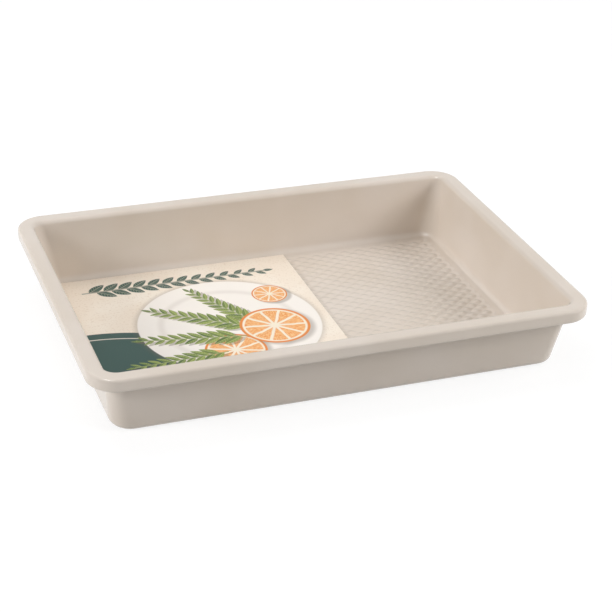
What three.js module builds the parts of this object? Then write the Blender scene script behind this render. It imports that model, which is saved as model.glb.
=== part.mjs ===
// A small roasting pan: one pressed and coated steel sheet with a rolled rim, and the printed card
// that lies loose on its floor.
// Millimetres, +Z up. The origin is the middle of the underside of the base, and the rim is longest along X.
import * as THREE from "three";

const { degToRad, lerp, clamp } = THREE.MathUtils;

// Driving dimensions of the pan
const RIM_LENGTH = 300; // over the outer edges of the rim, along X
const RIM_WIDTH = 212; // the same along Y
const PAN_DEPTH = 42.2; // from the underside of the base to the top of the rim
const SHEET = 0.8; // thickness of the coated steel
const END_DRAFT = degToRad(7.5); // lean of the two short walls away from the vertical
const SIDE_DRAFT = degToRad(6); // lean of the two long walls
const RIM_FLAT = 5.6; // width of the flat top of the rim
const RIM_BEND = 2.2; // radius under the rim, where the wall turns out into it
const EDGE_BEND = 1; // radius under the outer edge of the rim
const SKIRT_STRAIGHT = 4.6; // height of the upright outer face of the rim
const HEM_BEND = 0.8; // radius inside the curl that ends the sheet
const HEM_LIP = 2; // straight end of the sheet, turned up behind the outer face
const FLOOR_BEND = 4; // radius inside the pan between the floor and the walls

// Driving dimensions of the corners, seen from above
const MOUTH_CORNER = 7.1; // radius of the inner face at the rim
const FLOOR_CORNER = 8.2; // radius of the flat floor in the middle of a corner

// Driving dimensions of the card
const CARD_LENGTH = 153; // along X
const CARD_THICKNESS = 0.5;
const CARD_CORNER = 3; // radius of the two corners at the left end
const CARD_TUCK = 4.7; // how far the left end reaches in between the rounded corners of the pan
const CARD_MARGIN = 0.6; // between its long edges and where the floor bends begin
const CARD_CLEARANCE = 0.3; // under it, over the floor

// Fineness of the curved surfaces
const BEND_STEPS = 4; // pairs of facets round a bend of the sheet
const CORNER_STEPS = 8; // facets round a corner, seen from above

// Points of the sheet's section are (out, height): out is 0 at the outer edge of the rim, negative inside it.
const edgeRadius = EDGE_BEND + SHEET;
const rimRadius = RIM_BEND + SHEET;
const hemRadius = HEM_BEND + SHEET;
const edgeCentre = new THREE.Vector2(-edgeRadius, PAN_DEPTH - edgeRadius);
const rimCentre = new THREE.Vector2(edgeCentre.x - RIM_FLAT, PAN_DEPTH - rimRadius);
const hemCentre = new THREE.Vector2(-hemRadius, edgeCentre.y - SKIRT_STRAIGHT);
const mouth = rimCentre.x - rimRadius;

// The straight stretch of a wall's inner face is tangent to the rim bend above and the floor bend below.
// Gives its foot and the centre of the floor bend.
function wallFoot(draft) {
  const intoPan = new THREE.Vector2(-Math.cos(draft), Math.sin(draft));
  const top = rimCentre.clone().addScaledVector(intoPan, rimRadius);
  const height = SHEET + FLOOR_BEND * (1 - Math.sin(draft));
  const foot = new THREE.Vector2(top.x - (top.y - height) * Math.tan(draft), height);
  return { foot, bendCentre: foot.clone().addScaledVector(intoPan, FLOOR_BEND) };
}

// One face of the sheet from the flat floor to the end of the hem. The upper face has behind = 0,
// the lower face lies the sheet's thickness behind it.
function sheetFace(draft, behind) {
  const quarter = Math.PI / 2;
  const { bendCentre } = wallFoot(draft);
  const face = new THREE.Path();
  face.absarc(bendCentre.x, bendCentre.y, FLOOR_BEND + behind, -quarter, -draft, false);
  face.absarc(rimCentre.x, rimCentre.y, rimRadius - behind, Math.PI - draft, quarter, true);
  face.absarc(edgeCentre.x, edgeCentre.y, edgeRadius - behind, quarter, 0, true);
  face.absarc(hemCentre.x, hemCentre.y, hemRadius - behind, 0, -Math.PI, true);
  face.lineTo(hemCentre.x - hemRadius + behind, hemCentre.y + HEM_LIP);
  return face.getPoints(BEND_STEPS);
}

// The lean of the wall that faces along turn, an angle seen from above: 0 is the +X end and a quarter turn
// the +Y side. Round a corner it goes over smoothly from the one wall's lean to the other's.
const draftFacing = (turn) => lerp(SIDE_DRAFT, END_DRAFT, Math.cos(turn) ** 2);

// How far the centre of a corner's arc lies inside the outer edge of the rim. It is the same all over the
// rim, and moves inwards down the wall, because the corners are rounder at the foot than at the mouth.
const cornerMiddle = Math.PI / 4;
const cornerFoot = wallFoot(draftFacing(cornerMiddle));
const insetAtRim = MOUTH_CORNER - mouth;
const insetAtFloor = FLOOR_CORNER - cornerFoot.bendCentre.x;
function cornerCentreInset(out, height) {
  if (out > rimCentre.x) return insetAtRim;
  const down = (rimCentre.y - height) / (rimCentre.y - cornerFoot.foot.y);
  return lerp(insetAtRim, insetAtFloor, clamp(down, 0, 1));
}

// The sheet's section where the wall faces along turn, set at its corner of the pan: out along the upper
// face, back along the lower face.
function sectionFacing(turn, sideX, sideY) {
  const draft = draftFacing(turn);
  const section = [...sheetFace(draft, 0), ...sheetFace(draft, SHEET).reverse()];
  return section.map(({ x: out, y: height }) => {
    const inset = cornerCentreInset(out, height);
    const radius = inset + out;
    return new THREE.Vector3(
      sideX * (RIM_LENGTH / 2 - inset) + radius * Math.cos(turn),
      sideY * (RIM_WIDTH / 2 - inset) + radius * Math.sin(turn),
      height,
    );
  });
}

// Every section round the pan, anticlockwise from above.
function sectionsRound() {
  const corners = [
    [1, 1],
    [-1, 1],
    [-1, -1],
    [1, -1],
  ];
  return corners.flatMap(([sideX, sideY], corner) =>
    Array.from({ length: CORNER_STEPS + 1 }, (_, step) => {
      const turn = ((corner + step / CORNER_STEPS) * Math.PI) / 2;
      return sectionFacing(turn, sideX, sideY);
    }),
  );
}

// A closed skin over sections of equally many points, with a flat cap over all the first points and another
// over all the last.
function skinOver(sections) {
  const length = sections[0].length;
  const points = sections.flat();
  const firstMiddle = points.length;
  const lastMiddle = firstMiddle + 1;
  points.push(new THREE.Vector3(0, 0, sections[0][0].z));
  points.push(new THREE.Vector3(0, 0, sections[0].at(-1).z));
  const faces = [];
  sections.forEach((_, index) => {
    const here = index * length;
    const next = ((index + 1) % sections.length) * length;
    for (let step = 0; step + 1 < length; step += 1) {
      faces.push(here + step, here + step + 1, next + step + 1);
      faces.push(here + step, next + step + 1, next + step);
    }
    faces.push(firstMiddle, here, next);
    faces.push(lastMiddle, next + length - 1, here + length - 1);
  });
  const skin = new THREE.BufferGeometry().setFromPoints(points).setIndex(faces);
  skin.computeVertexNormals();
  return skin;
}

// The pan: the sheet's section carried all round.
function makePan() {
  const coat = new THREE.MeshStandardMaterial({ color: 0xd8ccbf, roughness: 0.38, metalness: 0 });
  const pan = new THREE.Mesh(skinOver(sectionsRound()), coat);
  pan.name = "pan";
  return pan;
}

// The card: nearly as wide as the flat floor, with its left end between the rounded corners of the pan and a
// square right end.
function makeCard() {
  const { bendCentre } = wallFoot(SIDE_DRAFT);
  const half = RIM_WIDTH / 2 + bendCentre.x - CARD_MARGIN;
  const left = insetAtFloor - RIM_LENGTH / 2 - CARD_TUCK;
  const right = left + CARD_LENGTH;
  const outline = new THREE.Shape();
  outline.moveTo(right, -half);
  outline.lineTo(right, half);
  outline.absarc(left + CARD_CORNER, half - CARD_CORNER, CARD_CORNER, Math.PI / 2, Math.PI, false);
  outline.absarc(left + CARD_CORNER, CARD_CORNER - half, CARD_CORNER, Math.PI, (3 * Math.PI) / 2, false);
  outline.closePath();
  const sheet = new THREE.ExtrudeGeometry(outline, {
    depth: CARD_THICKNESS,
    bevelEnabled: false,
    curveSegments: CORNER_STEPS,
  });
  const board = new THREE.MeshStandardMaterial({ color: 0xe7d7c7, roughness: 0.7, metalness: 0 });
  const card = new THREE.Mesh(sheet, board);
  card.name = "label_card";
  card.position.z = SHEET + CARD_CLEARANCE;
  return card;
}

const roastingPan = new THREE.Group();
roastingPan.add(makePan(), makeCard());

export default roastingPan;
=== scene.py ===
"""A small roasting pan with a printed card lying in it, dressed for a studio picture.

The pan is one pressed sheet: a quilted floor, leaning walls and a rolled rim. The card lies loose on the
floor. Everything is in metres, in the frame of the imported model: +Z is up and the base stands on z = 0.
"""
import logging
import math
from dataclasses import dataclass, field
from enum import Enum
from typing import Callable, Iterator, Sequence, Union

import bmesh
import bpy
from mathutils import Color, Matrix, Vector


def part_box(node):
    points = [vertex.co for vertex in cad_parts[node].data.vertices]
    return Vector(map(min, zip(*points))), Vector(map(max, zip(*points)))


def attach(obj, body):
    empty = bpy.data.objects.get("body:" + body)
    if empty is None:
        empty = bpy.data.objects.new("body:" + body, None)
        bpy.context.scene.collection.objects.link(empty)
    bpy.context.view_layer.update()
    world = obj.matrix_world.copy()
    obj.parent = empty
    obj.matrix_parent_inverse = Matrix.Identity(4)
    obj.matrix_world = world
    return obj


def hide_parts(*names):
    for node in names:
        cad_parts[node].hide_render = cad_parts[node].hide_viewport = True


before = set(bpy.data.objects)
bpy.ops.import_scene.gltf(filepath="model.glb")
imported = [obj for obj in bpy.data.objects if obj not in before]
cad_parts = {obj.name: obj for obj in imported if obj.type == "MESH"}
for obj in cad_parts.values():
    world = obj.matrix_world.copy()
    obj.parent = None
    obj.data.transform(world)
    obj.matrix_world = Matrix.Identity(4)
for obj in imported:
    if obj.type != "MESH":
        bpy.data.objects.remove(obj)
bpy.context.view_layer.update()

LOG = logging.getLogger("roasting_pan")
MM = 0.001
QUARTER = math.pi / 2
HALF = 0.5
FULL_SCREEN = 255
WHITE = (1.0, 1.0, 1.0, 1.0)


class Body(Enum):
    """The bodies that pieces ride on."""

    PAN = "pan"
    CARD = "card"


class Slot(Enum):
    """The record's material slots."""

    COATED_STEEL = "coated_steel"
    PRINTED_CARD = "printed_card"


class Side(Enum):
    """The two faces of the sheet, as thicknesses behind the face that the food touches."""

    INNER = 0
    OUTER = 1


@dataclass(frozen=True)
class Colour:
    """A colour as it looks on a screen, each part from 0 to 255."""

    red: float
    green: float
    blue: float

    @property
    def linear(self) -> tuple[float, float, float, float]:
        """The colour as shaders take it, opaque."""
        shown = Color((self.red, self.green, self.blue)) / FULL_SCREEN
        return (*shown.from_srgb_to_scene_linear(), 1.0)


@dataclass(frozen=True)
class Wire:
    """A value on its way through a node tree. Arithmetic on it adds Math nodes."""

    sketch: "NodeSketch"
    socket: bpy.types.NodeSocket

    def __add__(self, other: "Number") -> "Wire":
        """The sum."""
        return self.sketch.math("ADD", self, other)

    def __sub__(self, other: "Number") -> "Wire":
        """The difference."""
        return self.sketch.math("SUBTRACT", self, other)

    def __rsub__(self, other: "Number") -> "Wire":
        """The difference, taken from a plain number."""
        return self.sketch.math("SUBTRACT", other, self)

    def __mul__(self, other: "Number") -> "Wire":
        """The product."""
        return self.sketch.math("MULTIPLY", self, other)

    def __truediv__(self, other: "Number") -> "Wire":
        """The quotient."""
        return self.sketch.math("DIVIDE", self, other)

    def __abs__(self) -> "Wire":
        """The size without the sign."""
        return self.sketch.math("ABSOLUTE", self)


Number = Union[Wire, float]


class NodeSketch:
    """Adds nodes to one tree and links them."""

    MIX_SHARE = 0
    MIX_UNDER = 6
    MIX_OVER = 7
    MIX_RESULT = 2

    def __init__(self, tree: bpy.types.NodeTree) -> None:
        """Starts on a tree.

        Args:
            tree: The material's, world's or group's node tree.
        """
        self.tree = tree

    def node(self, kind: str, **settings: object) -> bpy.types.Node:
        """Adds a node.

        Args:
            kind: Its type, without the words ShaderNode.
            settings: Values of its own properties.

        Returns:
            The new node.
        """
        made = self.tree.nodes.new("ShaderNode" + kind)
        for name, value in settings.items():
            setattr(made, name, value)
        return made

    def feed(self, socket: bpy.types.NodeSocket, value: object) -> None:
        """Links a wire to an input, or sets the input to a plain value.

        Args:
            socket: The input.
            value: A wire, number, vector or colour.
        """
        if isinstance(value, Wire):
            self.tree.links.new(value.socket, socket)
        elif isinstance(value, Colour):
            socket.default_value = value.linear
        else:
            socket.default_value = value

    def out(self, made: bpy.types.Node, socket: Union[int, str] = 0) -> Wire:
        """One output of a node as a wire."""
        return Wire(self, made.outputs[socket])

    def math(self, operation: str, *operands: Number) -> Wire:
        """Adds a Math node.

        Args:
            operation: What it does.
            operands: Its inputs, in order.

        Returns:
            Its result.
        """
        made = self.node("Math", operation=operation)
        for socket, operand in zip(made.inputs, operands):
            self.feed(socket, operand)
        return self.out(made)

    def smooth(self, value: Wire, start: Number, end: Number) -> Wire:
        """A smooth step.

        Args:
            value: What the step is taken of.
            start: Where it is 0.
            end: Where it is 1. It may lie below the start.

        Returns:
            The step.
        """
        made = self.node("MapRange", interpolation_type="SMOOTHSTEP")
        for name, given in (("Value", value), ("From Min", start), ("From Max", end)):
            self.feed(made.inputs[name], given)
        return self.out(made)

    def split(self, vector: Wire) -> tuple[Wire, Wire]:
        """Takes a level vector apart.

        Args:
            vector: The vector.

        Returns:
            Its x and its y.
        """
        made = self.node("SeparateXYZ")
        self.feed(made.inputs[0], vector)
        return self.out(made, "X"), self.out(made, "Y")

    def join(self, x: Number, y: Number) -> Wire:
        """Puts a level vector together.

        Args:
            x: Its first part.
            y: Its second part.

        Returns:
            The vector.
        """
        made = self.node("CombineXYZ")
        self.feed(made.inputs["X"], x)
        self.feed(made.inputs["Y"], y)
        return self.out(made)

    def reach(self, vector: Wire) -> Wire:
        """The length of a level vector."""
        x, y = self.split(vector)
        return self.math("SQRT", x * x + y * y)

    def placed(self, position: Wire, place: "Place") -> Wire:
        """A position as seen from a place of its own: from its middle, along its direction, in its unit.

        Args:
            position: The position on the piece.
            place: Where the pattern lies.

        Returns:
            The position in the pattern's own coordinates.
        """
        made = self.node("Mapping", vector_type="TEXTURE")
        self.feed(made.inputs["Vector"], position)
        made.inputs["Location"].default_value = (place.x, place.y, 0.0)
        made.inputs["Rotation"].default_value = (0.0, 0.0, place.turn)
        made.inputs["Scale"].default_value = (place.unit, place.unit, place.unit)
        return self.out(made)

    def noise(self, position: Wire, scale: Number, detail: float = 2.0, roughness: float = 0.5) -> Wire:
        """Smooth noise about 0.5.

        Args:
            position: Where it is read.
            scale: How many lumps there are in one unit of length.
            detail: How many finer layers are laid over it.
            roughness: How strong those layers are.

        Returns:
            The noise.
        """
        made = self.node("TexNoise")
        self.feed(made.inputs["Vector"], position)
        self.feed(made.inputs["Scale"], scale)
        made.inputs["Detail"].default_value = detail
        made.inputs["Roughness"].default_value = roughness
        return self.out(made, "Fac")

    def blend(self, share: Number, under: object, over: object) -> Wire:
        """One colour laid over another.

        Args:
            share: How much of the upper one shows.
            under: The lower colour.
            over: The upper colour.

        Returns:
            The blended colour.
        """
        made = self.node("Mix", data_type="RGBA")
        self.feed(made.inputs[self.MIX_SHARE], share)
        self.feed(made.inputs[self.MIX_UNDER], under)
        self.feed(made.inputs[self.MIX_OVER], over)
        return self.out(made, self.MIX_RESULT)

    def bump(self, height: Wire, distance: float) -> Wire:
        """A normal that shows a height.

        Args:
            height: The height, in shares of the distance.
            distance: What a height of 1 stands for.

        Returns:
            The normal.
        """
        made = self.node("Bump")
        made.inputs["Strength"].default_value = 1.0
        made.inputs["Distance"].default_value = distance
        self.feed(made.inputs["Height"], height)
        return self.out(made, "Normal")


@dataclass(frozen=True)
class Place:
    """Where a pattern lies on a piece: its origin, the turn of its x axis and the length of its unit."""

    x: float
    y: float
    turn: float = 0.0
    unit: float = 1.0


class PatternGroup:
    """A shader node group that is built once and placed wherever a material needs it."""

    NAME = ""
    INPUTS: dict[str, str] = {}
    OUTPUTS: dict[str, str] = {}

    def __init__(self) -> None:
        """Builds the group with its sockets."""
        self.tree = bpy.data.node_groups.new(self.NAME, "ShaderNodeTree")
        for direction, sockets in (("INPUT", self.INPUTS), ("OUTPUT", self.OUTPUTS)):
            for name, kind in sockets.items():
                self.tree.interface.new_socket(name, in_out=direction, socket_type="NodeSocket" + kind)
        inside = NodeSketch(self.tree)
        entry = self.tree.nodes.new("NodeGroupInput")
        leave = self.tree.nodes.new("NodeGroupOutput")
        given = {name: inside.out(entry, name) for name in self.INPUTS}
        for name, wire in self.draw(inside, given).items():
            inside.feed(leave.inputs[name], wire)

    def draw(self, inside: NodeSketch, given: dict[str, Wire]) -> dict[str, Wire]:
        """Draws the pattern.

        Args:
            inside: The group's own tree.
            given: The group's inputs by name.

        Returns:
            What the group puts out, by name.
        """
        raise NotImplementedError

    def place(self, sketch: NodeSketch, **given: object) -> dict[str, Wire]:
        """Puts the group into a tree.

        Args:
            sketch: The tree that it goes into.
            given: Its inputs by name.

        Returns:
            Its outputs by name.
        """
        made = sketch.node("Group", node_tree=self.tree)
        for name, value in given.items():
            sketch.feed(made.inputs[name], value)
        return {name: sketch.out(made, name) for name in self.OUTPUTS}


class FineGrain(PatternGroup):
    """The fine grain and the slow drift of a made surface, such as a sprayed coat or pressed paper."""

    NAME = "fine_grain"
    INPUTS = {"Position": "Vector", "Grain": "Float", "Drift": "Float"}
    OUTPUTS = {"Height": "Float", "Cloud": "Float"}

    def draw(self, inside: NodeSketch, given: dict[str, Wire]) -> dict[str, Wire]:
        """Lays a fine noise and a slow one.

        Args:
            inside: The group's own tree.
            given: The group's inputs by name.

        Returns:
            The fine noise as Height, the slow one as Cloud.
        """
        fine = inside.noise(given["Position"], given["Grain"], detail=3.0, roughness=0.6)
        slow = inside.noise(given["Position"], given["Drift"], detail=2.0)
        return {"Height": fine, "Cloud": slow}


class Leaf(PatternGroup):
    """One pointed leaf along x, from its base at 0 to its tip at 1."""

    NAME = "leaf"
    INPUTS = {"Position": "Vector", "Width": "Float"}
    OUTPUTS = {"Mask": "Float", "Vein": "Float", "Half": "Float"}
    EDGE = 0.02
    MIDRIB = 0.02
    VEINS = 7.0
    VEIN_SLANT = 5.0
    VEIN_EDGES = (0.16, 0.02)
    VEIN_SHADE = 0.6
    ROUNDNESS = 0.8
    WIDTH_AT_BASE = 1.25
    WIDTH_LOST = 0.5

    def draw(self, inside: NodeSketch, given: dict[str, Wire]) -> dict[str, Wire]:
        """Draws the blade, its midrib and its side veins.

        Args:
            inside: The group's own tree.
            given: The group's inputs by name.

        Returns:
            The Mask of the blade, its Vein, and which Half.
        """
        along, across = inside.split(given["Position"])
        aside = abs(across)
        room = inside.math("MAXIMUM", along * (1.0 - along), 0.0) / HALF**2
        taper = self.WIDTH_AT_BASE - along * self.WIDTH_LOST
        belly = inside.math("POWER", room, self.ROUNDNESS) * taper
        mask = inside.smooth(belly * given["Width"] - aside, 0.0, self.EDGE)
        midrib = inside.smooth(aside, self.MIDRIB, self.MIDRIB / 3)
        phase = inside.math("FRACT", along * self.VEINS - aside * self.VEIN_SLANT)
        veins = inside.smooth(abs(phase - HALF), *self.VEIN_EDGES) * self.VEIN_SHADE
        half = inside.smooth(across, -self.MIDRIB, self.MIDRIB)
        return {"Mask": mask, "Vein": inside.math("MAXIMUM", midrib, veins) * mask, "Half": half}


class Sprig(PatternGroup):
    """A stem along x, with leaves on both sides by turns and one at its tip, in units of their pitch."""

    NAME = "sprig"
    INPUTS = {"Position": "Vector", "Leaves": "Float", "Length": "Float", "Width": "Float"}
    OUTPUTS = {"Mask": "Float", "Vein": "Float", "Tone": "Float"}
    SPREAD = math.radians(38)
    TAPER = 0.5
    BARE_STEM = 0.5
    STEM = 0.09
    STEM_PAST_LEAVES = 0.2
    STEM_SHADE = 0.8
    HALF_SHADE = 0.5
    OTHER_SIDE = 31.0

    def __init__(self, leaf: Leaf) -> None:
        """Builds the group.

        Args:
            leaf: The leaf that it repeats.
        """
        self.leaf = leaf
        super().__init__()

    def draw(self, inside: NodeSketch, given: dict[str, Wire]) -> dict[str, Wire]:
        """Repeats the leaf along the stem.

        Args:
            inside: The group's own tree.
            given: The group's inputs by name.

        Returns:
            The Mask of stem and leaves, their Vein and their Tone.
        """
        along, across = inside.split(given["Position"])
        below = inside.math("LESS_THAN", across, 0.0)
        shifted = along - below * HALF
        cell = inside.math("FLOOR", shifted)
        aside = abs(across)
        mask, vein, tone = None, None, None
        for back in range(2):
            number = cell - float(back)
            start = shifted - number
            size = (1.0 - number / given["Leaves"] * self.TAPER) * given["Length"]
            grows = inside.math("GREATER_THAN", number, -HALF)
            ends = inside.math("LESS_THAN", number, given["Leaves"] - HALF)
            turned = inside.join(
                (start * math.cos(self.SPREAD) + aside * math.sin(self.SPREAD)) / size,
                (aside * math.cos(self.SPREAD) - start * math.sin(self.SPREAD)) / size,
            )
            drawn = self.leaf.place(inside, Position=turned, Width=given["Width"])
            shown = drawn["Mask"] * grows * ends
            chance = inside.node("TexWhiteNoise", noise_dimensions="1D")
            inside.feed(chance.inputs["W"], number + below * self.OTHER_SIDE)
            shade = inside.out(chance, "Value") * (1.0 - self.HALF_SHADE) + drawn["Half"] * self.HALF_SHADE
            if mask is None:
                mask, vein, tone = shown, drawn["Vein"] * shown, shade
                continue
            free = (1.0 - mask) * shown
            vein = vein + drawn["Vein"] * free
            tone = tone + (shade - tone) * free
            mask = inside.math("MAXIMUM", mask, shown)
        end_size = given["Length"] * (1.0 - self.TAPER)
        at_tip = inside.join((along - given["Leaves"]) / end_size, across / end_size)
        tip = self.leaf.place(inside, Position=at_tip, Width=given["Width"])
        on_stem = inside.smooth(aside, self.STEM, self.STEM / 2)
        on_stem = on_stem * inside.math("GREATER_THAN", along, -self.BARE_STEM)
        on_stem = on_stem * inside.math("LESS_THAN", along, given["Leaves"] + self.STEM_PAST_LEAVES)
        mask = inside.math("MAXIMUM", inside.math("MAXIMUM", mask, tip["Mask"]), on_stem)
        vein = inside.math("MAXIMUM", inside.math("MAXIMUM", vein, tip["Vein"]), on_stem * self.STEM_SHADE)
        return {"Mask": mask, "Vein": vein, "Tone": tone}


class CitrusWheel(PatternGroup):
    """A slice of citrus fruit of radius 1 about the origin."""

    NAME = "citrus_wheel"
    INPUTS = {"Position": "Vector"}
    OUTPUTS = {"Mask": "Float", "Pulp": "Float", "Pith": "Float", "Shine": "Float"}
    SEGMENTS = 10
    RIND = 0.93
    FLESH = 0.86
    CORE = 0.07
    SKIN = 0.028
    EDGE = 0.02
    WOBBLE = 3.0
    WOBBLE_ROUND = 0.25
    WOBBLE_OUT = 0.05
    VESICLES_ROUND = 9.0
    VESICLES_OUT = 3.5
    VESICLE_SCALE = 2.6

    def draw(self, inside: NodeSketch, given: dict[str, Wire]) -> dict[str, Wire]:
        """Draws the rind, the pith and the wedges of flesh.

        Args:
            inside: The group's own tree.
            given: The group's inputs by name.

        Returns:
            The Mask of the slice, its Pulp, its Pith, and the Shine of the flesh.
        """
        across, along = inside.split(given["Position"])
        radius = inside.reach(given["Position"])
        angle = inside.math("ARCTAN2", along, across)
        wobble = inside.noise(given["Position"], self.WOBBLE) - HALF
        turns = angle * (self.SEGMENTS / math.tau) + wobble * self.WOBBLE_ROUND
        phase = inside.math("FRACT", turns + HALF)
        to_skin = (HALF - abs(phase - HALF)) * radius * (math.tau / self.SEGMENTS)
        wedge = inside.smooth(to_skin, self.SKIN, self.SKIN + self.EDGE * 2)
        uneven = radius + wobble * self.WOBBLE_OUT
        wedge = wedge * inside.smooth(uneven, self.FLESH, self.FLESH - self.EDGE * 2)
        wedge = wedge * inside.smooth(radius, self.CORE, self.CORE + self.EDGE * 3)
        mask = inside.smooth(radius, 1.0, 1.0 - self.EDGE)
        pith = inside.smooth(radius, self.RIND, self.RIND - self.EDGE * 2) * (1.0 - wedge)
        spread = inside.join(angle * self.VESICLES_ROUND, radius * self.VESICLES_OUT)
        vesicles = inside.noise(spread, self.VESICLE_SCALE, detail=3.0)
        return {"Mask": mask, "Pulp": wedge, "Pith": pith, "Shine": vesicles}


def new_material(name: str) -> tuple[bpy.types.Material, NodeSketch, bpy.types.Node]:
    """Starts a material.

    Args:
        name: The material's name.

    Returns:
        The material, its tree, and its Principled shader.
    """
    made = bpy.data.materials.new(name)
    made.use_nodes = True
    return made, NodeSketch(made.node_tree), made.node_tree.nodes["Principled BSDF"]


def object_position(sketch: NodeSketch) -> Wire:
    """The position on the piece in millimetres, in the model's own frame."""
    place = sketch.node("TexCoord")
    return sketch.placed(sketch.out(place, "Object"), Place(0.0, 0.0, unit=MM))


@dataclass(frozen=True)
class SatinCoat:
    """The warm cream non-stick coat: satin, with a fine sprayed grain and a slow drift of its tone."""

    base: Colour = Colour(218, 207, 196)
    drifted: Colour = Colour(213, 201, 188)
    fleck: Colour = Colour(196, 180, 162)
    roughness: tuple[float, float] = (0.18, 0.22)
    specular: float = 0.62
    grain_per_mm: float = 1.4
    drift_per_mm: float = 0.016
    drift_range: tuple[float, float] = (0.35, 0.65)
    fleck_per_mm: float = 0.9
    fleck_range: tuple[float, float] = (0.66, 0.80)
    fleck_share: float = 0.12
    grain_height: float = 0.003 * MM

    def material(self, grain: FineGrain) -> bpy.types.Material:
        """Makes the material.

        Args:
            grain: The grain that it shares with the card.

        Returns:
            The material.
        """
        made, sketch, shader = new_material("satin_cream_coat")
        position = object_position(sketch)
        laid = grain.place(sketch, Position=position, Grain=self.grain_per_mm, Drift=self.drift_per_mm)
        flecks = sketch.smooth(sketch.noise(position, self.fleck_per_mm, detail=1.0), *self.fleck_range)
        tone = sketch.blend(sketch.smooth(laid["Cloud"], *self.drift_range), self.base, self.drifted)
        colour = sketch.blend(flecks * self.fleck_share, tone, self.fleck)
        low, high = self.roughness
        sketch.feed(shader.inputs["Base Color"], colour)
        sketch.feed(shader.inputs["Roughness"], laid["Cloud"] * (high - low) + low)
        sketch.feed(shader.inputs["Normal"], sketch.bump(laid["Height"], self.grain_height))
        shader.inputs["Specular IOR Level"].default_value = self.specular
        return made


@dataclass(frozen=True)
class Motifs:
    """The pattern groups that the card's print is drawn with."""

    grain: FineGrain
    sprig: Sprig
    citrus: CitrusWheel


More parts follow.
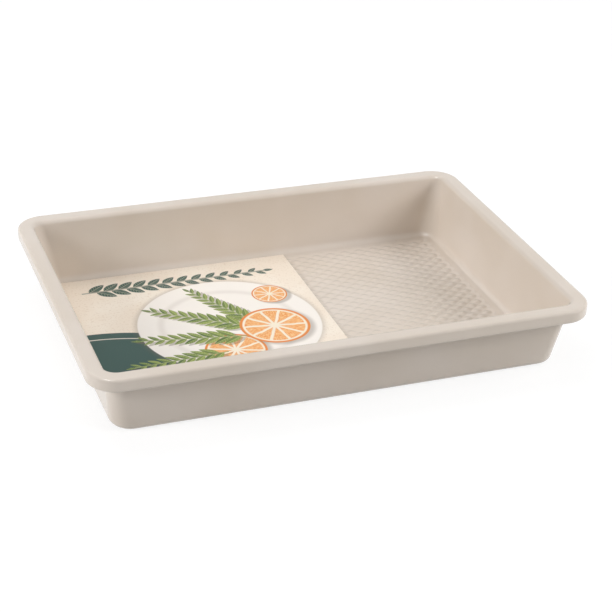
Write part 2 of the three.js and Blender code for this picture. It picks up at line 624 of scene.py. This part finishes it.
@dataclass(frozen=True)
class CardPrint:
    """Speckled cream card, printed flat with a green corner, a garland, herb sprigs and slices of citrus.

    Lengths are in millimetres in the model's frame.
    """

    stock: Colour = Colour(243, 230, 214)
    stock_light: Colour = Colour(247, 237, 223)
    fibre: Colour = Colour(198, 172, 144)
    plate: Colour = Colour(247, 241, 234)
    plate_shade: Colour = Colour(206, 196, 188)
    field: Colour = Colour(60, 86, 80)
    field_deep: Colour = Colour(52, 78, 75)
    line: Colour = Colour(228, 220, 208)
    garland_ink: Colour = Colour(50, 84, 73)
    leaf_young: Colour = Colour(152, 166, 88)
    leaf_old: Colour = Colour(70, 98, 46)
    leaf_vein: Colour = Colour(196, 204, 146)
    rind: Colour = Colour(226, 138, 66)
    pith: Colour = Colour(247, 234, 214)
    flesh: Colour = Colour(234, 152, 80)
    flesh_light: Colour = Colour(247, 205, 152)
    shadow: Colour = Colour(112, 98, 88)
    roughness: float = 0.55
    roughness_swing: float = 0.16
    specular: float = 0.35
    grain_per_mm: float = 2.2
    drift_per_mm: float = 0.03
    drift_range: tuple[float, float] = (0.4, 0.7)
    grain_height: float = 0.02 * MM
    fibre_per_mm: float = 0.75
    fibre_range: tuple[float, float] = (0.53, 0.72)
    fibre_share: float = 0.3
    field_radius: float = 104.0
    ink_edge: float = 0.3
    line_radius: float = 97.0
    line_width: float = 0.7
    dish: Place = Place(-38.0, 6.0, unit=57.0)
    dish_edges: tuple[float, float] = (1.0, 0.985)
    dish_shadow: tuple[float, float] = (1.07, 0.97)
    dish_shade: float = 0.35
    well_radius: float = 0.74
    well_width: float = 0.07
    well_shade: float = 0.3
    garland: Place = Place(-111.0, 69.0, unit=9.6)
    garland_leaves: float = 12.0
    garland_length: float = 1.5
    garland_width: float = 0.23
    garland_veins: float = 0.5
    sprigs: tuple[Place, ...] = (
        Place(-24.0, 8.0, math.radians(120), 5.8),
        Place(-30.0, 2.0, math.radians(147), 6.6),
        Place(-36.0, -10.0, math.radians(170), 6.6),
        Place(-52.0, -26.0, math.radians(183), 6.0),
    )
    sprig_leaves: float = 9.0
    sprig_length: float = 2.2
    sprig_width: float = 0.18
    sprig_veins: float = 0.55
    slices: tuple[Place, ...] = (
        Place(-12.0, -3.0, math.radians(10), 22.0),
        Place(-44.0, -25.0, math.radians(35), 19.0),
        Place(-2.0, 37.0, math.radians(50), 11.5),
    )
    slice_shadow: tuple[float, float] = (1.12, 0.92)
    flesh_range: tuple[float, float] = (0.35, 0.68)
    shadow_shift: tuple[float, float] = (1.9, -2.1)
    shadow_shade: float = 0.45

    def material(self, corner: Vector, motifs: Motifs) -> bpy.types.Material:
        """Makes the material.

        Args:
            corner: The card's near left corner, the middle of the green field, in millimetres.
            motifs: The pattern groups.

        Returns:
            The material.
        """
        made, sketch, shader = new_material("printed_card_stock")
        position = object_position(sketch)
        grain, drift = self.grain_per_mm, self.drift_per_mm
        laid = motifs.grain.place(sketch, Position=position, Grain=grain, Drift=drift)
        colour = self._stock(sketch, position, laid)
        colour = self._field(sketch, position, corner, laid, colour)
        colour = self._garland(sketch, position, motifs, colour)
        colour = self._dish(sketch, position, colour)
        for place in self.slices[1:]:
            colour = self._slice(sketch, position, motifs, place, colour)
        for place in self.sprigs:
            colour = self._sprig(sketch, position, motifs, place, colour)
        colour = self._slice(sketch, position, motifs, self.slices[0], colour)
        sketch.feed(shader.inputs["Base Color"], colour)
        lowest = self.roughness - self.roughness_swing / 2
        sketch.feed(shader.inputs["Roughness"], laid["Height"] * self.roughness_swing + lowest)
        sketch.feed(shader.inputs["Normal"], sketch.bump(laid["Height"], self.grain_height))
        shader.inputs["Specular IOR Level"].default_value = self.specular
        return made

    def _stock(self, sketch: NodeSketch, position: Wire, laid: dict[str, Wire]) -> Wire:
        """Lays the unprinted card with its fibres.

        Args:
            sketch: The material's tree.
            position: The position on the card.
            laid: The card's grain.

        Returns:
            The colour.
        """
        pale = sketch.blend(sketch.smooth(laid["Cloud"], *self.drift_range), self.stock, self.stock_light)
        fibres = sketch.smooth(sketch.noise(position, self.fibre_per_mm, detail=3.0), *self.fibre_range)
        return sketch.blend(fibres * self.fibre_share, pale, self.fibre)

    def _field(
        self, sketch: NodeSketch, position: Wire, corner: Vector, laid: dict[str, Wire], under: Wire
    ) -> Wire:
        """Prints the quarter-round green field with a fine line along its edge.

        Args:
            sketch: The material's tree.
            position: The position on the card.
            corner: The middle of the field.
            laid: The card's grain.
            under: The colour below.

        Returns:
            The colour.
        """
        reach = sketch.reach(sketch.placed(position, Place(corner.x, corner.y)))
        ink = sketch.blend(laid["Cloud"], self.field, self.field_deep)
        inked = sketch.smooth(reach, self.field_radius + self.ink_edge, self.field_radius - self.ink_edge)
        colour = sketch.blend(inked, under, ink)
        on_line = sketch.smooth(abs(reach - self.line_radius), self.line_width, self.line_width / 3)
        return sketch.blend(on_line, colour, self.line)

    def _dish(self, sketch: NodeSketch, position: Wire, under: Wire) -> Wire:
        """Prints the pale dish under the fruit, with a shaded well.

        Args:
            sketch: The material's tree.
            position: The position on the card.
            under: The colour below.

        Returns:
            The colour.
        """
        reach = sketch.reach(sketch.placed(position, self.dish))
        well = sketch.smooth(abs(reach - self.well_radius), self.well_width, 0.0)
        glaze = sketch.blend(well * self.well_shade, self.plate, self.plate_shade)
        shade = sketch.smooth(reach, *self.dish_shadow) * self.dish_shade
        shaded = sketch.blend(shade, under, self.shadow)
        return sketch.blend(sketch.smooth(reach, *self.dish_edges), shaded, glaze)

    def _garland(self, sketch: NodeSketch, position: Wire, motifs: Motifs, under: Wire) -> Wire:
        """Prints the row of dark leaves along the far edge.

        Args:
            sketch: The material's tree.
            position: The position on the card.
            motifs: The pattern groups.
            under: The colour below.

        Returns:
            The colour.
        """
        drawn = motifs.sprig.place(
            sketch,
            Position=sketch.placed(position, self.garland),
            Leaves=self.garland_leaves,
            Length=self.garland_length,
            Width=self.garland_width,
        )
        ink = sketch.blend(drawn["Vein"] * self.garland_veins, self.garland_ink, self.stock)
        return sketch.blend(drawn["Mask"], under, ink)

    def _dropped(self, place: Place) -> Place:
        """Where the shadow of a motif lies."""
        shift_x, shift_y = self.shadow_shift
        return Place(place.x + shift_x, place.y + shift_y, place.turn, place.unit)

    def _sprig(self, sketch: NodeSketch, position: Wire, motifs: Motifs, place: Place, under: Wire) -> Wire:
        """Prints one herb sprig with its soft shadow.

        Args:
            sketch: The material's tree.
            position: The position on the card.
            motifs: The pattern groups.
            place: Where the sprig lies.
            under: The colour below.

        Returns:
            The colour.
        """
        below, drawn = (
            motifs.sprig.place(
                sketch,
                Position=sketch.placed(position, at),
                Leaves=self.sprig_leaves,
                Length=self.sprig_length,
                Width=self.sprig_width,
            )
            for at in (self._dropped(place), place)
        )
        green = sketch.blend(drawn["Tone"], self.leaf_old, self.leaf_young)
        green = sketch.blend(drawn["Vein"] * self.sprig_veins, green, self.leaf_vein)
        shaded = sketch.blend(below["Mask"] * self.shadow_shade, under, self.shadow)
        return sketch.blend(drawn["Mask"], shaded, green)

    def _slice(self, sketch: NodeSketch, position: Wire, motifs: Motifs, place: Place, under: Wire) -> Wire:
        """Prints one slice of citrus with its soft shadow.

        Args:
            sketch: The material's tree.
            position: The position on the card.
            motifs: The pattern groups.
            place: Where the slice lies.
            under: The colour below.

        Returns:
            The colour.
        """
        reach = sketch.reach(sketch.placed(position, self._dropped(place)))
        shade = sketch.smooth(reach, *self.slice_shadow) * self.shadow_shade
        shaded = sketch.blend(shade, under, self.shadow)
        drawn = motifs.citrus.place(sketch, Position=sketch.placed(position, place))
        flesh = sketch.blend(sketch.smooth(drawn["Shine"], *self.flesh_range), self.flesh, self.flesh_light)
        fruit = sketch.blend(drawn["Pith"], self.rind, self.pith)
        fruit = sketch.blend(drawn["Pulp"], fruit, flesh)
        return sketch.blend(drawn["Mask"], shaded, fruit)


class Workbench:
    """The bench on which pieces are modelled with Blender's own operators."""

    CREASE = math.radians(50)

    @staticmethod
    def clear() -> None:
        """Leaves edit mode and takes everything out of the selection."""
        if bpy.context.object and bpy.context.object.mode != "OBJECT":
            bpy.ops.object.mode_set(mode="OBJECT")
        bpy.ops.object.select_all(action="DESELECT")

    @staticmethod
    def start(name: str) -> bpy.types.Object:
        """Names the primitive that was just added, and opens it in edit mode with nothing selected.

        Args:
            name: The piece's name.

        Returns:
            The piece.
        """
        piece = bpy.context.object
        piece.name = name
        piece.data.name = name
        bpy.ops.object.mode_set(mode="EDIT")
        bpy.ops.mesh.select_all(action="DESELECT")
        return piece

    @staticmethod
    def select_edges(piece: bpy.types.Object, wanted: Callable[[bmesh.types.BMEdge], bool]) -> None:
        """Adds edges to the selection.

        Args:
            piece: The piece in edit mode.
            wanted: Tells whether an edge is to be selected.
        """
        shape = bmesh.from_edit_mesh(piece.data)
        for edge in shape.edges:
            if wanted(edge):
                edge.select_set(True)
        bmesh.update_edit_mesh(piece.data)

    @classmethod
    def finish(cls, piece: bpy.types.Object) -> None:
        """Points the faces outwards and smooths all edges but those past the crease angle.

        Args:
            piece: The piece in edit mode.
        """
        bpy.ops.mesh.select_all(action="SELECT")
        bpy.ops.mesh.normals_make_consistent(inside=False)
        bpy.ops.mesh.select_all(action="DESELECT")
        bpy.ops.object.mode_set(mode="OBJECT")
        bpy.ops.object.shade_smooth_by_angle(angle=cls.CREASE)
        LOG.info("%s: %d faces", piece.name, len(piece.data.polygons))


@dataclass(frozen=True)
class Quilt:
    """The pillows that are pressed into the floor, in a lattice of lozenges."""

    pitch_x: float = 10.2 * MM
    pitch_y: float = 7.64 * MM
    rise: float = 0.9 * MM
    sink: float = 0.7 * MM
    softness: float = 0.02
    fullness: float = 0.6
    fade: float = 2.5 * MM

    def height(self, x: float, y: float) -> float:
        """How far the floor stands above its plain level.

        Args:
            x: Place along the pan.
            y: Place across the pan.

        Returns:
            The height.
        """
        first = math.cos(math.pi * (x / self.pitch_x + y / self.pitch_y)) ** 2
        second = math.cos(math.pi * (x / self.pitch_x - y / self.pitch_y)) ** 2
        pillow = (first * second + self.softness) ** self.fullness
        return pillow * self.rise - self.sink


@dataclass
class PanSheet:
    """The pan: one sheet with an inner and an outer face, from the quilted floor to the curled hem."""

    coat: bpy.types.Material
    low: Vector
    high: Vector
    sheet: float = 0.8 * MM
    end_draft: float = math.radians(7.5)
    side_draft: float = math.radians(6.0)
    rim_flat: float = 5.6 * MM
    rim_bend: float = 2.2 * MM
    edge_bend: float = 1.0 * MM
    skirt: float = 4.6 * MM
    hem_bend: float = 0.8 * MM
    hem_lip: float = 2.0 * MM
    floor_bend: float = 4.0 * MM
    mouth_corner: float = 7.1 * MM
    floor_corner: float = 8.2 * MM
    plain_band: float = 3.0 * MM
    support: float = 1.0 * MM
    corner_steps: int = 20
    bend_steps: int = 10
    quilt: Quilt = field(default_factory=Quilt)
    inner_mesh_step: float = 0.9 * MM
    outer_mesh_step: float = 1.6 * MM

    PLACE = "place_round_the_pan"
    DIGITS = 4

    def __post_init__(self) -> None:
        """Works out the centres of the bends from the sizes. Points of the section are (out, height)."""
        self.half = (self.high - self.low) / 2
        self.depth = self.high.z
        self.edge = self.edge_bend + self.sheet
        self.rim = self.rim_bend + self.sheet
        self.hem = self.hem_bend + self.sheet
        self.edge_centre = Vector((-self.edge, self.depth - self.edge))
        self.rim_centre = Vector((-self.edge - self.rim_flat, self.depth - self.rim))
        self.hem_centre = Vector((-self.hem, self.depth - self.edge - self.skirt))
        mouth = self.rim_centre.x - self.rim
        middle_foot, middle_bend = self._wall_foot(self._draft(QUARTER / 2))
        self.foot_height = middle_foot.y
        self.inset_at_rim = self.mouth_corner - mouth
        self.inset_at_floor = self.floor_corner - middle_bend.x

    def _draft(self, turn: float) -> float:
        """The lean of the wall that faces along an angle seen from above."""
        return self.side_draft + (self.end_draft - self.side_draft) * math.cos(turn) ** 2

    def _wall_top(self, draft: float) -> Vector:
        """Where a wall's inner face leaves the bend under the rim."""
        into_pan = Vector((-math.cos(draft), math.sin(draft)))
        return self.rim_centre + into_pan * self.rim

    def _wall_foot(self, draft: float) -> tuple[Vector, Vector]:
        """Finds the foot of a wall's inner face.

        Args:
            draft: The lean of the wall.

        Returns:
            Where the face meets the floor bend, and the centre of that bend.
        """
        into_pan = Vector((-math.cos(draft), math.sin(draft)))
        top = self._wall_top(draft)
        height = self.sheet + self.floor_bend * (1 - math.sin(draft))
        foot = Vector((top.x - (top.y - height) * math.tan(draft), height))
        return foot, foot + into_pan * self.floor_bend

    def _arc(self, centre: Vector, radius: float, start: float, end: float) -> list[Vector]:
        """Goes along a bend of the section.

        Args:
            centre: The centre of the bend.
            radius: Its radius.
            start: The angle at which it starts.
            end: The angle at which it ends.

        Returns:
            Points along it, both ends included.
        """
        steps = range(self.bend_steps + 1)
        angles = [start + (end - start) * step / self.bend_steps for step in steps]
        return [centre + radius * Vector((math.cos(angle), math.sin(angle))) for angle in angles]

    def _held(self, before: Sequence[Vector], after: Sequence[Vector]) -> list[Vector]:
        """Holds the straight stretch between two bends flat.

        Args:
            before: The points of the bend before it.
            after: The points of the bend after it.

        Returns:
            Two points close to its ends.
        """
        start, end = before[-1], after[0]
        step = (end - start).normalized() * min(self.support, (end - start).length / 3)
        return [start + step, end - step]

    def _face(self, draft: float, side: Side) -> list[Vector]:
        """One face of the sheet's section from the flat floor to the end of the hem.

        Args:
            draft: The lean of the wall.
            side: Which face.

        Returns:
            Its points.
        """
        behind = side.value * self.sheet
        _, bend_centre = self._wall_foot(draft)
        bends = [
            self._arc(bend_centre, self.floor_bend + behind, -QUARTER, -draft),
            self._arc(self.rim_centre, self.rim - behind, math.pi - draft, QUARTER),
            self._arc(self.edge_centre, self.edge - behind, QUARTER, 0.0),
            self._arc(self.hem_centre, self.hem - behind, 0.0, -math.pi),
        ]
        points = list(bends[0])
        for before, after in zip(bends, bends[1:]):
            points += self._held(before, after) + after
        points.append(points[-1] + Vector((0.0, self.hem_lip)))
        return points

    def _round(self, turn: float, corner: tuple[int, int]) -> list[Vector]:
        """The whole section, inner face and then outer face backwards, where the wall faces along an angle.

        Args:
            turn: The angle, seen from above.
            corner: The signs of the corner's x and y.

        Returns:
            The points in space.
        """
        draft = self._draft(turn)
        outline = self._face(draft, Side.INNER) + self._face(draft, Side.OUTER)[::-1]
        points = []
        for out, height in outline:
            inset = self._corner_inset(out, height)
            points.append(
                Vector(
                    (
                        corner[0] * (self.half.x - inset) + (inset + out) * math.cos(turn),
                        corner[1] * (self.half.y - inset) + (inset + out) * math.sin(turn),
                        height,
                    )
                )
            )
        return points

    def _corner_inset(self, out: float, height: float) -> float:
        """Finds how far the centre of a corner's arc lies inside the outer edge of the rim.

        Args:
            out: The point's place in the section.
            height: Its height.

        Returns:
            The inset.
        """
        if out > self.rim_centre.x:
            return self.inset_at_rim
        down = (self.rim_centre.y - height) / (self.rim_centre.y - self.foot_height)
        return self.inset_at_rim + (self.inset_at_floor - self.inset_at_rim) * min(max(down, 0.0), 1.0)

    def _sections(self) -> list[list[Vector]]:
        """Goes round the pan.

        Returns:
            Every section, anticlockwise from above.
        """
        corners = ((1, 1), (-1, 1), (-1, -1), (1, -1))
        return [
            self._round((number + step / self.corner_steps) * QUARTER, corner)
            for number, corner in enumerate(corners)
            for step in range(self.corner_steps + 1)
        ]

    def build(self) -> bpy.types.Object:
        """Models the pan from a ring at the edge of the floor.

        Returns:
            The finished piece.
        """
        sections = self._sections()
        rings = list(zip(*sections))
        Workbench.clear()
        bpy.ops.mesh.primitive_circle_add(vertices=len(sections), radius=self.half.y, fill_type="NOTHING")
        piece = Workbench.start("roasting_pan")
        bpy.ops.mesh.select_mode(type="EDGE")
        self._number(piece)
        bpy.ops.mesh.select_all(action="SELECT")
        self._lay(piece, rings[0])
        for ring in rings[1:]:
            bpy.ops.mesh.extrude_edges_indiv()
            self._lay(piece, ring)
        for ring, step in ((rings[0], self.inner_mesh_step), (rings[-1], self.outer_mesh_step)):
            self._floor(piece, ring, step)
        shape = bmesh.from_edit_mesh(piece.data)
        shape.verts.layers.int.remove(shape.verts.layers.int[self.PLACE])
        bmesh.update_edit_mesh(piece.data)
        Workbench.finish(piece)
        self.dress(piece)
        return piece

    def _number(self, piece: bpy.types.Object) -> None:
        """Numbers the points of the first ring, so that every later ring knows its order.

        Args:
            piece: The piece in edit mode.
        """
        shape = bmesh.from_edit_mesh(piece.data)
        place = shape.verts.layers.int.new(self.PLACE)
        for number, vert in enumerate(shape.verts):
            vert[place] = number
        bmesh.update_edit_mesh(piece.data)

    def _lay(self, piece: bpy.types.Object, ring: Sequence[Vector]) -> None:
        """Puts the selected ring of points in place.

        Args:
            piece: The piece in edit mode.
            ring: Where the points go.
        """
        shape = bmesh.from_edit_mesh(piece.data)
        place = shape.verts.layers.int[self.PLACE]
        for vert in shape.verts:
            if vert.select:
                vert.co = ring[vert[place]]
        bmesh.update_edit_mesh(piece.data)

    def _floor(self, piece: bpy.types.Object, ring: Sequence[Vector], step: float) -> None:
        """Closes one face of the floor with a quilted field and a plain band round it.

        Args:
            piece: The piece in edit mode.
            ring: The ring at the edge of that face.
            step: The size of the field's mesh.
        """
        level = ring[0].z
        reach = Vector((max(point.x for point in ring), max(point.y for point in ring)))
        half = reach - Vector((self.plain_band, self.plain_band))
        bpy.ops.mesh.select_all(action="DESELECT")
        bpy.ops.mesh.primitive_grid_add(
            x_subdivisions=round(2 * half.x / step),
            y_subdivisions=round(2 * half.y / step),
            size=2.0,
            location=(0.0, 0.0, level),
        )
        bpy.ops.transform.resize(value=(half.x, half.y, 1.0))
        shape = bmesh.from_edit_mesh(piece.data)
        for vert in shape.verts:
            if vert.select:
                vert.co.z = level + self._pillow(vert.co, half, level)
        bmesh.update_edit_mesh(piece.data)
        bpy.ops.mesh.region_to_loop()

        def rounded(point: Vector) -> tuple[float, ...]:
            """A place in rounded millimetres."""
            return tuple(round(part / MM, self.DIGITS) for part in point)

        at_edge = {rounded(point) for point in ring}

        def on_ring(edge: bmesh.types.BMEdge) -> bool:
            """Whether both ends of an edge lie on the ring."""
            return all(rounded(vert.co) in at_edge for vert in edge.verts)

        Workbench.select_edges(piece, on_ring)
        bpy.ops.mesh.fill(use_beauty=True)

    def _pillow(self, place: Vector, half: Vector, level: float) -> float:
        """Finds the quilt's height, faded out at the edge of the field and never below the base.

        Args:
            place: The place on the floor.
            half: Half the size of the field.
            level: The level of that face of the floor.

        Returns:
            The height over the level.
        """
        inside = min(half.x - abs(place.x), half.y - abs(place.y))
        share = min(max(inside / self.quilt.fade, 0.0), 1.0)
        height = self.quilt.height(place.x, place.y) * share * share * (3 - 2 * share)
        return max(height, 0.0) if level < self.sheet / 2 else height

    def dress(self, piece: bpy.types.Object) -> None:
        """Gives the pan its coat and its place in the model.

        Args:
            piece: The pan.
        """
        piece.data.materials.append(self.coat)
        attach(piece, Body.PAN.value)
        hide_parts("pan")


@dataclass
class PrintedCard:
    """The card: a thin sheet with two rounded corners at its left end."""

    print_: bpy.types.Material
    low: Vector
    high: Vector
    corner: float = 3.0 * MM
    corner_steps: int = 10
    arris: float = 0.06 * MM
    level_within: float = 0.01 * MM

    def build(self) -> bpy.types.Object:
        """Models the card from a plane.

        Returns:
            The finished piece.
        """
        middle = (self.low + self.high) / 2
        half = (self.high - self.low) / 2
        Workbench.clear()
        bpy.ops.mesh.primitive_plane_add(size=2.0)
        piece = Workbench.start("label_card_print")
        shape = bmesh.from_edit_mesh(piece.data)
        for vert in shape.verts:
            vert.co = Vector((middle.x + vert.co.x * half.x, middle.y + vert.co.y * half.y, self.low.z))
            vert.select_set(vert.co.x < middle.x)
        bmesh.update_edit_mesh(piece.data)
        bpy.ops.mesh.bevel(affect="VERTICES", offset=self.corner, segments=self.corner_steps, profile=0.5)
        bpy.ops.mesh.select_all(action="SELECT")
        thickness = self.high.z - self.low.z
        bpy.ops.mesh.extrude_region_move(TRANSFORM_OT_translate={"value": (0.0, 0.0, thickness)})
        bpy.ops.mesh.select_all(action="DESELECT")
        Workbench.select_edges(piece, self._level)
        bpy.ops.mesh.bevel(affect="EDGES", offset=self.arris, segments=2)
        Workbench.finish(piece)
        self.dress(piece)
        return piece

    def _level(self, edge: bmesh.types.BMEdge) -> bool:
        """Whether an edge lies level."""
        return abs(edge.verts[0].co.z - edge.verts[1].co.z) < self.level_within

    def dress(self, piece: bpy.types.Object) -> None:
        """Gives the card its print and its place in the model.

        Args:
            piece: The card.
        """
        piece.data.materials.append(self.print_)
        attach(piece, Body.CARD.value)
        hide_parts("label_card")


@dataclass(frozen=True)
class Viewpoint:
    """The camera, as worked out from the rim's outline. It looks at a point level with the rim's top."""

    focal_length: float = 94.62
    sensor: float = 36.0
    azimuth: float = math.radians(21.22)
    elevation: float = math.radians(28.19)
    roll: float = math.radians(2.34)
    distance: float = 923.2 * MM
    target_x: float = -12.68 * MM
    target_y: float = -55.78 * MM

    def build(self, rim_height: float) -> bpy.types.Object:
        """Sets the camera up.

        Args:
            rim_height: The height of the rim's top.

        Returns:
            The camera.
        """
        flat = math.cos(self.elevation)
        left, front = math.sin(self.azimuth) * flat, math.cos(self.azimuth) * flat
        back = Vector((-left, -front, math.sin(self.elevation)))
        right = (-back).cross(Vector((0.0, 0.0, 1.0))).normalized()
        upright = right.cross(-back)
        across = right * math.cos(self.roll) + upright * math.sin(self.roll)
        above = upright * math.cos(self.roll) - right * math.sin(self.roll)
        lens = bpy.data.cameras.new("viewpoint")
        lens.lens = self.focal_length
        lens.sensor_width = self.sensor
        camera = bpy.data.objects.new("viewpoint", lens)
        camera.matrix_world = Matrix.Translation(
            Vector((self.target_x, self.target_y, rim_height)) + back * self.distance
        ) @ Matrix((across, above, back)).transposed().to_4x4()
        bpy.context.scene.collection.objects.link(camera)
        bpy.context.scene.camera = camera
        return camera


@dataclass(frozen=True)
class Softbox:
    """A square soft light that faces the middle of the pan.

    The bearing, in degrees, is taken from the front of the pan round by its right end. The level is the
    light that falls on a surface facing the lamp, where 1 shows colours as they are written. Gloss mirrors
    the white surround in place of a lamp, but for a lamp that lights only gloss.
    """

    name: str
    bearing: float
    elevation: float
    level: float
    size: float = 0.55
    distance: float = 1.6
    only_gloss: bool = False

    def build(self) -> bpy.types.Object:
        """Hangs the light.

        Returns:
            The lamp.
        """
        bearing, elevation = math.radians(self.bearing), math.radians(self.elevation)
        flat = math.cos(elevation)
        aim = Vector((math.sin(bearing) * flat, -math.cos(bearing) * flat, math.sin(elevation)))
        lamp = bpy.data.lights.new(self.name, "AREA")
        lamp.shape = "SQUARE"
        lamp.size = self.size
        lamp.energy = self.level * (math.pi * self.distance) ** 2
        light = bpy.data.objects.new(self.name, lamp)
        light.location = aim * self.distance
        light.rotation_euler = aim.to_track_quat("Z", "Y").to_euler()
        light.visible_glossy = self.only_gloss
        light.visible_diffuse = not self.only_gloss
        bpy.context.scene.collection.objects.link(light)
        return light


@dataclass(frozen=True)
class Studio:
    """A white floor, an even white surround and soft lights."""

    floor_size: float = 12.0
    floor_drop: float = 0.3 * MM
    floor_grey: Colour = Colour(203, 203, 202)
    floor_roughness: float = 0.9
    floor_glow: float = 0.08
    shown_share: float = 0.25
    shown_glow: float = 0.80
    surround: float = 0.09
    lights: tuple[Softbox, ...] = (
        Softbox("left_front", 285, 28, 0.29, 0.45),
        Softbox("left_low", 270, 20, 0.31),
        Softbox("left_back", 225, 62, 0.205, 0.8),
        Softbox("front_right", 56, 27, 0.476, 0.7),
        Softbox("right_high", 60, 42, 0.11, 1.0),
        Softbox("right_mid", 88, 37, 0.14, 0.8),
        Softbox("back_panel", 180, 60, 0.235, 1.0),
        Softbox("corner_glint", 300, 62, 0.45, 0.5, only_gloss=True),
    )

    def build(self) -> None:
        """Sets the studio up."""
        bpy.context.scene.view_settings.view_transform = "Standard"
        self._surround()
        self._floor()
        for light in self.lights:
            light.build()

    def _seen(self, sketch: NodeSketch) -> Wire:
        """Tells how a surface is met.

        Args:
            sketch: The tree that asks.

        Returns:
            1 where it is seen, straight or in gloss or glass, and 0 where only its light counts.
        """
        path = sketch.node("LightPath")
        rays = ("Is Camera Ray", "Is Glossy Ray", "Is Transmission Ray")
        straight, gloss, glass = (sketch.out(path, ray) for ray in rays)
        return sketch.math("MAXIMUM", sketch.math("MAXIMUM", straight, gloss), glass)

    def _surround(self) -> None:
        """The even light all round, which looks white."""
        world = bpy.data.worlds.new("white_surround")
        world.use_nodes = True
        bpy.context.scene.world = world
        sketch = NodeSketch(world.node_tree)
        background = world.node_tree.nodes["Background"]
        background.inputs["Color"].default_value = WHITE
        strength = self._seen(sketch) * (1.0 - self.surround) + self.surround
        sketch.feed(background.inputs["Strength"], strength)

    def _floor(self) -> None:
        """The floor: a plain pale surface that looks white but for the shadow on it."""
        Workbench.clear()
        bpy.ops.mesh.primitive_plane_add(size=self.floor_size, location=(0.0, 0.0, -self.floor_drop))
        floor = bpy.context.object
        floor.name = "studio_floor"
        made, sketch, shader = new_material("white_floor")
        shader.inputs["Base Color"].default_value = self.floor_grey.linear
        shader.inputs["Emission Color"].default_value = WHITE
        shader.inputs["Emission Strength"].default_value = self.floor_glow
        shader.inputs["Roughness"].default_value = self.floor_roughness
        shader.inputs["Specular IOR Level"].default_value = 0.0
        pale = sketch.node("BsdfDiffuse")
        pale.inputs["Color"].default_value = (self.shown_share,) * 3 + (1.0,)
        glow = sketch.node("Emission")
        glow.inputs["Strength"].default_value = self.shown_glow
        shown = sketch.node("AddShader")
        sketch.feed(shown.inputs[0], sketch.out(pale))
        sketch.feed(shown.inputs[1], sketch.out(glow))
        choice = sketch.node("MixShader")
        sketch.feed(choice.inputs[0], self._seen(sketch))
        sketch.feed(choice.inputs[1], sketch.out(shader))
        sketch.feed(choice.inputs[2], sketch.out(shown))
        sketch.feed(made.node_tree.nodes["Material Output"].inputs["Surface"], sketch.out(choice))
        floor.data.materials.append(made)


def corners(node: str) -> Iterator[Vector]:
    """The lowest and the highest corner of a node of the model."""
    return (Vector(corner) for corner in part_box(node))


def main() -> None:
    """Builds the camera, the studio and the pieces in order."""
    logging.basicConfig(level=logging.INFO, format="%(name)s %(message)s")
    pan_low, pan_high = corners("pan")
    card_low, card_high = corners("label_card")
    Viewpoint().build(pan_high.z)
    Studio().build()
    grain = FineGrain()
    motifs = Motifs(grain, Sprig(Leaf()), CitrusWheel())
    pan = PanSheet(SatinCoat().material(grain), pan_low, pan_high).build()
    card = PrintedCard(CardPrint().material(card_low / MM, motifs), card_low, card_high).build()
    for piece in (pan, card):
        LOG.info("%s is in place", piece.name)


if __name__ == "__main__":
    main()
